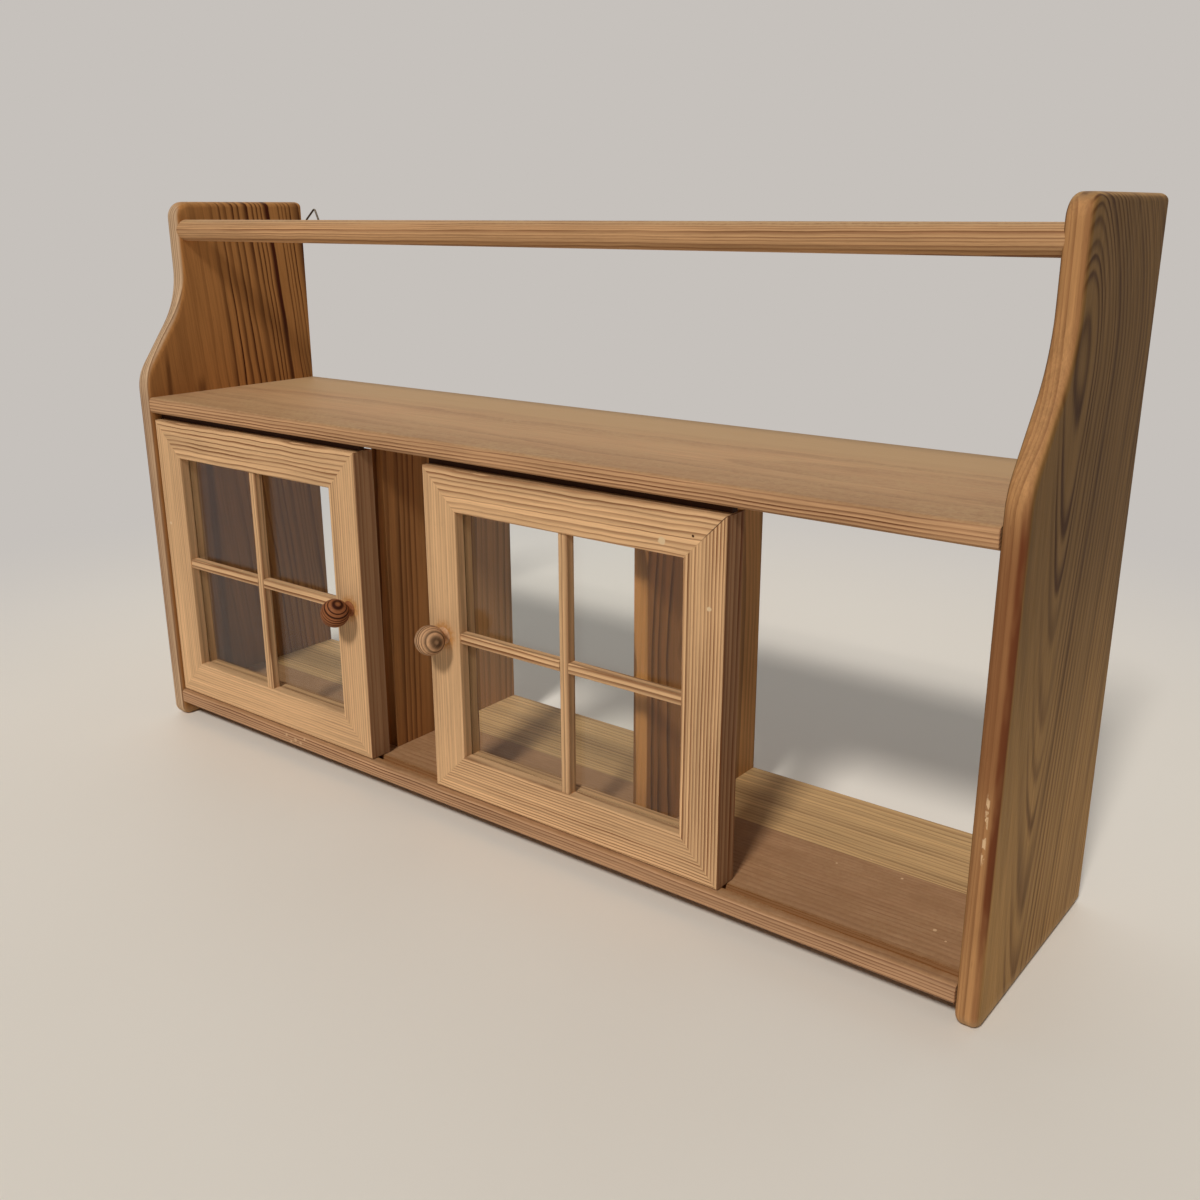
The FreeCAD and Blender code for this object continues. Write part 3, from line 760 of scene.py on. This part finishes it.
door_stains_and_shades = {
    "left_door_top_rail": [runner_shade],
    "left_door_right_stile": [shaded_right_side(-121.5)],
    "right_door_top_rail": [runner_shade, open_mitre],
    "right_door_right_stile": [open_mitre, shaded_right_side(217.0)],
}
print("marks on", len(door_marks), "door members")

# %% [markdown]
# The members of both doors differ in little but their place in the log, so a table of sticks and one loop
# finish them all. The four beads behind a pane are one node, so its material holds two cuts of wood, level
# and upright, and the distance along the door chooses between them.

# %% Door materials
BEADS_IN = 31.0
FIRST_SEED = 11.0
SEED_PER_DOOR = 5.7
SEED_PER_STICK = 1.1
USUAL_DEPTH = 0.95


def beads_material(name, level, upright, left, right):
    """Material of the glazing beads: level ones between the upright ones at the left and right."""
    material, tree, shader = new_material(name)
    lying = cut_from_log(tree, **level)
    standing = cut_from_log(tree, **upright)
    at_left = change(tree, "x", left, left + 0.2, 1.0, 0.0)
    at_right = change(tree, "x", right - 0.2, right, 0.0, 1.0)
    colour = mix_colours(tree, calc(tree, "MAXIMUM", at_left, at_right), lying["Color"], standing["Color"])
    lacquer(tree, shader, colour, lying)
    return material


for index, side in enumerate(("left", "right")):
    door = side + "_door_"
    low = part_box(door + "left_stile")[0]
    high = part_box(door + "right_stile")[1]
    x0, z0 = low.x / MM, low.z / MM
    x1, z1 = high.x / MM, high.z / MM
    seed = FIRST_SEED + SEED_PER_DOOR * index
    sticks = [
        ("top_rail", (x0, -40, z1 - 150), RAIL_GRAIN, 3.7, 0.52, 0.75),
        ("bottom_rail", (x0, -44, z0 - 120), RAIL_GRAIN, 2.3, 0.6, 0.35),
        ("left_stile", (x0 - 90, -20, z0), STILE_GRAIN, 2.4, 0.65, 0.12),
        ("right_stile", (x1 + 90, -20, z0), STILE_GRAIN, 2.3, 0.7, 0.12),
        ("upright_bar", (x0 + 60, -30, z0), STILE_GRAIN, 3.2, 0.6, 0.2),
        ("cross_bar", (x0, -30, z0 + 60), RAIL_GRAIN, 3.2, 0.6, 0.2),
        ("mitre_tongues", (x0, -30, z0 - 60), RAIL_GRAIN, 2.6, 0.6, 0.2),
        ("guide_pins", (x0, -30, z0 - 60), STILE_GRAIN, 2.6, 0.6, 0.2),
    ]
    for step, (part, heart, grain, ring, share, wave) in enumerate(sticks):
        name = door + part
        depth = line_depth.get(name, USUAL_DEPTH)
        log = stick(heart, grain, ring, seed + SEED_PER_STICK * step, share, wave, depth)
        finish([name], board("pine_" + name, log, DOOR_WEAR, 1.0, 0.5,
                             door_marks.get(name, ()), door_stains_and_shades.get(name, ())))
    level = stick((x0, -30, z0 - 60), RAIL_GRAIN, 2.6, seed + 9.1)
    upright = stick((x0 - 60, -30, z0), STILE_GRAIN, 2.6, seed + 10.2)
    beads = beads_material("pine_" + door + "beads", level, upright, x0 + BEADS_IN, x1 - BEADS_IN)
    finish([door + "beads"], beads)
print("doors finished")

# %% [markdown]
# ## Glass and steel
# The panes are plain clear glass, so the shader only needs its own transmission. Light doesn't pass a glass
# shader evenly by itself, so rays that light other surfaces meet a clear surface instead, which keeps back
# a little of the light as two faces of real glass do. The index is set low, because a bright floor on all
# sides mirrors strongly in flat panes.

# %% Glass and steel materials
GLASS_TINT = (0.97, 0.985, 0.98, 1)
GLASS_INDEX = 1.3
PASSED_LIGHT = (0.9, 0.91, 0.9, 1)
BARE_STEEL = srgb(116, 108, 96)
TARNISHED = srgb(90, 79, 67)

glass, tree, shader = new_material("pane_glass")
shader.inputs["Base Color"].default_value = GLASS_TINT
shader.inputs["Roughness"].default_value = 0.01
shader.inputs["IOR"].default_value = GLASS_INDEX
shader.inputs["Transmission Weight"].default_value = 1.0
rays = tree.nodes.new("ShaderNodeLightPath").outputs
lighting = calc(tree, "MAXIMUM", rays["Is Shadow Ray"], rays["Is Diffuse Ray"])
clear = add_node(tree, "ShaderNodeBsdfTransparent", {"Color": PASSED_LIGHT}).outputs[0]
passing = add_node(tree, "ShaderNodeMixShader", {0: lighting, 1: shader.outputs[0], 2: clear}).outputs[0]
tree.links.new(passing, tree.nodes["Material Output"].inputs["Surface"])
finish(["left_door_pane", "right_door_pane"], glass)

steel, tree, shader = new_material("hanger_steel")
tarnish = noise(tree, here(tree), (900, 900, 900), 4.0, 0.6)
metal = mix_colours(tree, ramp_up(tree, tarnish, 0.35, 0.65), BARE_STEEL, TARNISHED)
tree.links.new(metal, shader.inputs["Base Color"])
tree.links.new(ramp_up(tree, tarnish, 0.3, 0.7, 0.34, 0.52), shader.inputs["Roughness"])
shader.inputs["Metallic"].default_value = 1.0
finish(["left_hanger_strap", "right_hanger_strap"], steel)
print("glass and steel finished")

# %% [markdown]
# ## Skins over loops of points
# The small round pieces are turned, bent or drawn, so each can be made as a skin over loops of points that
# follow one another. The CAD model keeps their facets coarse, and the pieces below replace them with
# smooth ones of the same sizes.

# %% Skin helpers
SHARP_OVER = math.radians(35)


def skin(mesh, loops, closed=False):
    """Faces between loops of points. A loop of one point makes a tip."""
    rows = [[mesh.verts.new(point) for point in loop] for loop in loops]
    following = rows[1:] + rows[:1] if closed else rows[1:]
    for near, far in zip(rows, following):
        sides = max(len(near), len(far))
        for i in range(sides):
            j = (i + 1) % sides
            corners = [near[i % len(near)], near[j % len(near)], far[j % len(far)], far[i % len(far)]]
            mesh.faces.new(list(dict.fromkeys(corners)))
    bmesh.ops.recalc_face_normals(mesh, faces=mesh.faces)


def spun_loops(profile, origin, axis, sides):
    """Loops of a turning, from pairs of radius and distance along an axis."""
    first = axis.orthogonal().normalized()
    second = axis.cross(first)
    loops = []
    for radius, distance in profile:
        centre = origin + axis * distance
        angles = [2 * math.pi * i / sides for i in range(sides if radius > 1e-7 else 1)]
        loops.append([centre + (first * math.cos(a) + second * math.sin(a)) * radius for a in angles])
    return loops


def mesh_object(name, mesh):
    """Object from a bmesh, smooth but for its sharp edges."""
    for face in mesh.faces:
        face.smooth = True
    for edge in mesh.edges:
        edge.smooth = edge.calc_face_angle(0) < SHARP_OVER
    data = bpy.data.meshes.new(name)
    mesh.to_mesh(data)
    mesh.free()
    piece = bpy.data.objects.new(name, data)
    bpy.context.scene.collection.objects.link(piece)
    return piece


def take_place(piece, material, node, body):
    """Let a piece stand for a CAD node on its body."""
    piece.data.materials.append(material)
    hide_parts(node)
    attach(piece, body)
    print("made", piece.name, "with", len(piece.data.polygons), "faces")


print("skin helpers ready")

# %% [markdown]
# ## Turned knobs
# A knob is turned on a lathe: a ball, a short neck and a small foot. Its rings run as near-flat sheets
# through the ball, which is why they show as circles on it. The left one is the darker and redder of the two.

# %% Knobs
BALL_D = 23 * MM
KNOB_REACH = 26.5 * MM
NECK_D = 10 * MM
FOOT_D = 13 * MM
SPIGOT_D = 8 * MM
SPIGOT_L = 14 * MM
FOOT_H = 1.5 * MM
FOOT_ROUND = 0.3 * MM
FOOT_WIDEST = 0.35 * MM
FOOT_SHOULDER = 0.8 * MM
NECK_FLARE = 0.4 * MM
BALL_ROWS = 28
KNOB_SIDES = 56
HEART_AWAY = 50 * MM
KNOB_LINES = [("y", -87, -84, 1.4, 0.2)]


def knob_profile():
    """Radius and distance out of the door, from the spigot to the tip of the ball."""
    ball_r = BALL_D / 2
    centre = KNOB_REACH - ball_r
    points = [(0, -SPIGOT_L), (SPIGOT_D / 2, -SPIGOT_L), (SPIGOT_D / 2, 0)]
    rounded = FOOT_D / 2 - FOOT_ROUND
    points += [(rounded, 0), (FOOT_D / 2, FOOT_WIDEST), (rounded, FOOT_SHOULDER)]
    points.append((NECK_D / 2 + NECK_FLARE, FOOT_H))
    start = -math.acos(NECK_D / 2 / ball_r)
    for row in range(BALL_ROWS + 1):
        angle = start + (math.pi / 2 - start) * row / BALL_ROWS
        points.append((max(ball_r * math.cos(angle), 0), centre + ball_r * math.sin(angle)))
    return points


knob_woods = {
    "left": ((0.559, -0.133, 0.817), 21.5, srgb(147, 93, 59), srgb(58, 28, 16)),
    "right": ((0.942, -0.297, 0.143), 23.8, srgb(192, 150, 112), srgb(42, 23, 13)),
}
for side, (sheet_normal, seed, early, late) in knob_woods.items():
    low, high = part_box(side + "_door_knob")
    middle = (low + high) / 2
    ball = Vector((middle.x, low.y + BALL_D / 2, middle.z))
    foot = Vector((middle.x, low.y + KNOB_REACH, middle.z))
    turning = bmesh.new()
    skin(turning, spun_loops(knob_profile(), foot, Vector((0, -1, 0)), KNOB_SIDES))
    normal = Vector(sheet_normal).normalized()
    material = board("pine_" + side + "_knob", dict(
        heart=tuple((ball - normal * HEART_AWAY) / MM), grain=tuple(normal.orthogonal()),
        ring=2.3, uneven=0.4, wander=0.15, wave=0.05, seed=seed,
        early=early, late=late, share=0.55, soft=0.2, depth=KNOB_LINES))
    knob = mesh_object(side + "_knob", turning)
    take_place(knob, material, side + "_door_knob", side + "_door")

# %% [markdown]
# ## Hanger rings
# A ring is one piece of wire bent to a triangle, with its base through the rolled eye of the strap. Wire
# can't turn a sharp corner, so each corner is an arc, and the skin runs straight from one arc to the next.

# %% Wire rings
WIRE_R = 0.9 * MM
WIRE_BEND_R = 1.7 * MM
RING_W = 24 * MM
RING_H = 15.2 * MM
RING_LEAN = math.radians(13.2)
RING_EYE = (370.1 * MM, 103.75 * MM, 449.2 * MM)
WIRE_SIDES = 20
BEND_STEPS = 10


def wire_loops(corners, normal):
    """Loops of a wire that is bent round the corners of a flat triangle."""
    angles = [2 * math.pi * i / WIRE_SIDES for i in range(WIRE_SIDES)]
    loops = []
    for i, corner in enumerate(corners):
        back = (corners[i - 1] - corner).normalized()
        onwards = (corners[(i + 1) % len(corners)] - corner).normalized()
        half_angle = back.angle(onwards) / 2
        outward = -(back + onwards).normalized()
        sideways = normal.cross(outward)
        centre = corner - outward * (WIRE_BEND_R / math.sin(half_angle))
        for step in range(BEND_STEPS + 1):
            swing = (math.pi / 2 - half_angle) * (2 * step / BEND_STEPS - 1)
            radial = outward * math.cos(swing) + sideways * math.sin(swing)
            loops.append([
                centre + radial * (WIRE_BEND_R + WIRE_R * math.cos(a)) + normal * (WIRE_R * math.sin(a))
                for a in angles])
    return loops


for side, sign in (("left", -1), ("right", 1)):
    eye = Vector((sign * RING_EYE[0], RING_EYE[1], RING_EYE[2]))
    upwards = Vector((-sign * math.sin(RING_LEAN), 0, math.cos(RING_LEAN)))
    along_eye = Vector((-sign * math.cos(RING_LEAN), 0, -math.sin(RING_LEAN)))
    half_base = along_eye * (RING_W / 2)
    bent = bmesh.new()
    skin(bent, wire_loops([eye - half_base, eye + half_base, eye + upwards * RING_H],
                          along_eye.cross(upwards)), closed=True)
    take_place(mesh_object(side + "_wire_ring", bent), steel, side + "_hanger_ring", side + "_ring")

# %% [markdown]
# ## Hanger screws
# The screw that holds a strap has a slotted dome. A slot could be cut with a Boolean, which often leaves
# long thin faces on so small a piece. Here two halves of a dome stand on a plain head instead, each cut off
# by one flat plane, with the slot left open between them.

# %% Slotted screws
SCREW_R = 1.5 * MM
HEAD_R = 3.1 * MM
HEAD_H = 1.9 * MM
SLOT_W = 0.8 * MM
SLOT_FLOOR = 0.9 * MM
SLOT_ACROSS = (1, 0, 0.4)
POINT_R = 0.45 * MM
POINT_L = 3 * MM
SCREW_SIDES = 32
DOME_ROWS = 8


def dome(low, high):
    """Radius and height pairs of a screw's dome between two heights."""
    heights = [low + (high - low) * row / DOME_ROWS for row in range(DOME_ROWS + 1)]
    return [(HEAD_R * math.sqrt(max(1 - (h / HEAD_H) ** 2, 0)), h) for h in heights]


for side in ("left", "right"):
    low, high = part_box(side + "_hanger_screw")
    seat = Vector(((low.x + high.x) / 2, high.y - HEAD_H, (low.z + high.z) / 2))
    outward = Vector((0, 1, 0))
    across_slot = Vector(SLOT_ACROSS).normalized()
    screw = bmesh.new()
    tip = low.y - seat.y
    shank = [(0, tip), (POINT_R, tip), (SCREW_R, tip + POINT_L), (SCREW_R, 0)]
    head = dome(0, SLOT_FLOOR) + [(0, SLOT_FLOOR)]
    skin(screw, spun_loops(shank + head, seat, outward, SCREW_SIDES))
    for sign in (-1, 1):
        half = bmesh.new()
        cap = [(0, SLOT_FLOOR)] + dome(SLOT_FLOOR, HEAD_H)
        skin(half, spun_loops(cap, seat, outward, SCREW_SIDES))
        whole = half.verts[:] + half.edges[:] + half.faces[:]
        slot_side = seat + across_slot * (sign * SLOT_W / 2)
        cut = bmesh.ops.bisect_plane(
            half, geom=whole, plane_co=slot_side, plane_no=across_slot * -sign, clear_outer=True)
        rim = [edge for edge in cut["geom_cut"] if isinstance(edge, bmesh.types.BMEdge)]
        bmesh.ops.holes_fill(half, edges=rim)
        piece = bpy.data.meshes.new("half_dome")
        half.to_mesh(piece)
        half.free()
        screw.from_mesh(piece)
        bpy.data.meshes.remove(piece)
    take_place(mesh_object(side + "_slotted_screw", screw), steel, side + "_hanger_screw", "carcass")

# %% [markdown]
# ## Floor and background
# A product shot needs a pale floor that keeps the shadow and a background with no horizon. The far floor
# fades into the background's own colour where it is seen directly, and the world shows that colour too.
# For light on surfaces the world gives only a weak fill.

# %% Floor and world
PALE = srgb(198, 193, 188)
FLOOR_DARKER = srgb(236, 231, 222)
FLOOR_LIGHTER = srgb(240, 236, 228)
FLOOR_R = 9
HAZE_STARTS = 0.5
HAZE_FULL = 1.2
FILL_COLOUR = (1.0, 0.98, 0.95, 1)
FILL_LEVEL = 0.13


def seen_directly(tree):
    """One for rays from the camera and for mirrored or refracted ones, and zero for light on surfaces."""
    rays = tree.nodes.new("ShaderNodeLightPath").outputs
    bent = calc(tree, "MAXIMUM", rays["Is Glossy Ray"], rays["Is Transmission Ray"])
    return calc(tree, "MAXIMUM", rays["Is Camera Ray"], bent)


floor_mesh = bmesh.new()
bmesh.ops.create_circle(floor_mesh, cap_ends=True, radius=FLOOR_R, segments=96)
floor = mesh_object("floor", floor_mesh)
floor_paint, tree, shader = new_material("pale_floor")
mottle = noise(tree, here(tree), (3, 3, 3))
paint = mix_colours(tree, mottle, FLOOR_DARKER, FLOOR_LIGHTER)
tree.links.new(paint, shader.inputs["Base Color"])
shader.inputs["Roughness"].default_value = 0.55
far = add_node(tree, "ShaderNodeVectorMath", {0: here(tree)}, operation="LENGTH").outputs["Value"]
hazy = product(tree, ramp_up(tree, far, HAZE_STARTS, HAZE_FULL), seen_directly(tree))
haze = add_node(tree, "ShaderNodeEmission", {"Color": PALE, "Strength": 1.0}).outputs[0]
both = add_node(tree, "ShaderNodeMixShader", {0: hazy, 1: shader.outputs[0], 2: haze}).outputs[0]
tree.links.new(both, tree.nodes["Material Output"].inputs["Surface"])
floor.data.materials.append(floor_paint)

world = bpy.data.worlds.new("studio")
bpy.context.scene.world = world
world.use_nodes = True
tree = world.node_tree
fill = tree.nodes["Background"]
fill.inputs["Color"].default_value = FILL_COLOUR
fill.inputs["Strength"].default_value = FILL_LEVEL
backdrop = add_node(tree, "ShaderNodeBackground", {"Color": PALE, "Strength": 1.0}).outputs[0]
inputs = {0: seen_directly(tree), 1: fill.outputs[0], 2: backdrop}
both = add_node(tree, "ShaderNodeMixShader", inputs).outputs[0]
tree.links.new(both, tree.nodes["World Output"].inputs["Surface"])
print("floor and world ready")

# %% [markdown]
# ## Light
# The shadows in the photograph show one strong soft light, high in front and a little to the right. A lamp
# near the cabinet would leave the far floor dark, so the light comes from far off. Half way between level
# and upright, it throws the shadow of the rail past the back of the shelf. A second, very broad and weak
# light comes from behind. Levels are set so that a colour renders about as written.

# %% Lamps
def add_lamp(name, comes_from, energy, degrees, colour):
    """Far lamp from a direction, its breadth in degrees."""
    lamp = bpy.data.lights.new(name, "SUN")
    lamp.energy = energy
    lamp.angle = math.radians(degrees)
    lamp.color = colour
    holder = bpy.data.objects.new(name, lamp)
    holder.rotation_euler = Vector(comes_from).to_track_quat("Z", "Y").to_euler()
    bpy.context.scene.collection.objects.link(holder)
    print(name, "at a level of", energy)


add_lamp("room_lamp", comes_from=(0.58, -2.6, 2.6), energy=2.2, degrees=9, colour=(1.0, 0.95, 0.89))
add_lamp("back_light", comes_from=(-0.6, 0.8, 1.2), energy=0.5, degrees=80, colour=(1.0, 0.97, 0.93))
